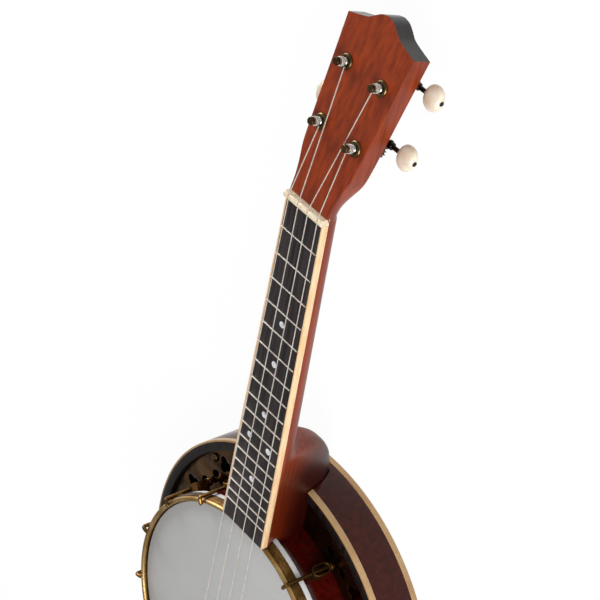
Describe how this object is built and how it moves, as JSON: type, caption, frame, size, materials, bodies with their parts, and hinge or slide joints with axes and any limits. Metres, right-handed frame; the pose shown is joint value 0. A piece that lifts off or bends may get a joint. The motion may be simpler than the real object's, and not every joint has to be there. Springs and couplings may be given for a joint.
{
  "type": "banjo ukulele",
  "caption": "Small banjo with a closed wooden resonator, hooked drum head, fretted neck, geared tuners and nylon strings.",
  "frame": {"origin": "on the pot's axis at the flat back of the resonator", "axes": "+Y along the neck towards the headstock, +Z out of the drum head, +X to the treble side"},
  "size_m": [0.2618, 0.621, 0.083],
  "materials": {
    "red_wood": "gloss",
    "dark_wood": "gloss",
    "neck_wood": "gloss",
    "rosewood": "satin",
    "cream_binding": "gloss",
    "bone": "satin",
    "maple": "satin",
    "film": "coated",
    "aged_brass": "aged",
    "steel": "polished",
    "dark_steel": "dark",
    "ivory_plastic": "pearl",
    "nylon": "translucent"
  },
  "bodies": {
    "body": {"pot_rim": "red_wood", "resonator_shell": "dark_wood", "neck": "neck_wood", "fretboard": "rosewood", "resonator_top_binding": "cream_binding", "resonator_back_binding": "cream_binding", "fretboard_binding_treble": "cream_binding", "fretboard_binding_bass": "cream_binding", "nut": "bone", "bridge": "maple", "drum_head": "film", "tension_hoop": "aged_brass", "flange": "aged_brass", "tailpiece": "aged_brass", "bracket_hook_01": "aged_brass", "bracket_hook_02": "aged_brass", "bracket_hook_03": "aged_brass", "bracket_hook_04": "aged_brass", "bracket_hook_05": "aged_brass", "bracket_hook_06": "aged_brass", "bracket_hook_07": "aged_brass", "bracket_hook_08": "aged_brass", "bracket_hook_09": "aged_brass", "bracket_hook_10": "aged_brass", "bracket_hook_11": "aged_brass", "bracket_hook_12": "aged_brass", "bracket_hook_13": "aged_brass", "resonator_screw_01": "aged_brass", "resonator_screw_02": "aged_brass", "resonator_screw_03": "aged_brass", "resonator_screw_04": "aged_brass", "tuner_grommet_treble_high": "aged_brass", "tuner_grommet_treble_low": "aged_brass", "tuner_grommet_bass_high": "aged_brass", "tuner_grommet_bass_low": "aged_brass", "coordinator_rod": "steel", "tuner_housing_treble_high": "dark_steel", "tuner_housing_treble_low": "dark_steel", "tuner_housing_bass_high": "dark_steel", "tuner_housing_bass_low": "dark_steel", "string_bass": "nylon", "string_second": "nylon", "string_third": "nylon", "string_treble": "nylon"},
    "post_treble_high": {"tuner_post_treble_high": "steel", "string_winding_treble_high": "nylon"},
    "drive_treble_high": {"worm_shaft_treble_high": "dark_steel", "tuner_button_treble_high": "ivory_plastic"},
    "post_treble_low": {"tuner_post_treble_low": "steel", "string_winding_treble_low": "nylon"},
    "drive_treble_low": {"worm_shaft_treble_low": "dark_steel", "tuner_button_treble_low": "ivory_plastic"},
    "post_bass_high": {"tuner_post_bass_high": "steel", "string_winding_bass_high": "nylon"},
    "drive_bass_high": {"worm_shaft_bass_high": "dark_steel", "tuner_button_bass_high": "ivory_plastic"},
    "post_bass_low": {"tuner_post_bass_low": "steel", "string_winding_bass_low": "nylon"},
    "drive_bass_low": {"worm_shaft_bass_low": "dark_steel", "tuner_button_bass_low": "ivory_plastic"}
  },
  "joints": [
    {"name": "button_turn_treble_high", "type": "hinge", "parent": "body", "child": "drive_treble_high", "pos_m": [0.0162, 0.45405, 0.0292], "axis": [1, 0, 0], "continuous": true},
    {"name": "post_turn_treble_high", "type": "hinge", "parent": "body", "child": "post_treble_high", "pos_m": [0.0162, 0.45298, 0.05083], "axis": [0, 0.2756, 0.9613], "continuous": true},
    {"name": "button_turn_treble_low", "type": "hinge", "parent": "body", "child": "drive_treble_low", "pos_m": [0.0162, 0.41512, 0.04036], "axis": [1, 0, 0], "continuous": true},
    {"name": "post_turn_treble_low", "type": "hinge", "parent": "body", "child": "post_treble_low", "pos_m": [0.0162, 0.41404, 0.062], "axis": [0, 0.2756, 0.9613], "continuous": true},
    {"name": "button_turn_bass_high", "type": "hinge", "parent": "body", "child": "drive_bass_high", "pos_m": [-0.0162, 0.45405, 0.0292], "axis": [-1, 0, 0], "continuous": true},
    {"name": "post_turn_bass_high", "type": "hinge", "parent": "body", "child": "post_bass_high", "pos_m": [-0.0162, 0.45298, 0.05083], "axis": [0, 0.2756, 0.9613], "continuous": true},
    {"name": "button_turn_bass_low", "type": "hinge", "parent": "body", "child": "drive_bass_low", "pos_m": [-0.0162, 0.41512, 0.04036], "axis": [-1, 0, 0], "continuous": true},
    {"name": "post_turn_bass_low", "type": "hinge", "parent": "body", "child": "post_bass_low", "pos_m": [-0.0162, 0.41404, 0.062], "axis": [0, 0.2756, 0.9613], "continuous": true}
  ],
  "couplings": [
    {"joint": "post_turn_treble_high", "follows": "button_turn_treble_high", "ratio": 0.071429},
    {"joint": "post_turn_treble_low", "follows": "button_turn_treble_low", "ratio": 0.071429},
    {"joint": "post_turn_bass_high", "follows": "button_turn_bass_high", "ratio": 0.071429},
    {"joint": "post_turn_bass_low", "follows": "button_turn_bass_low", "ratio": 0.071429}
  ]
}
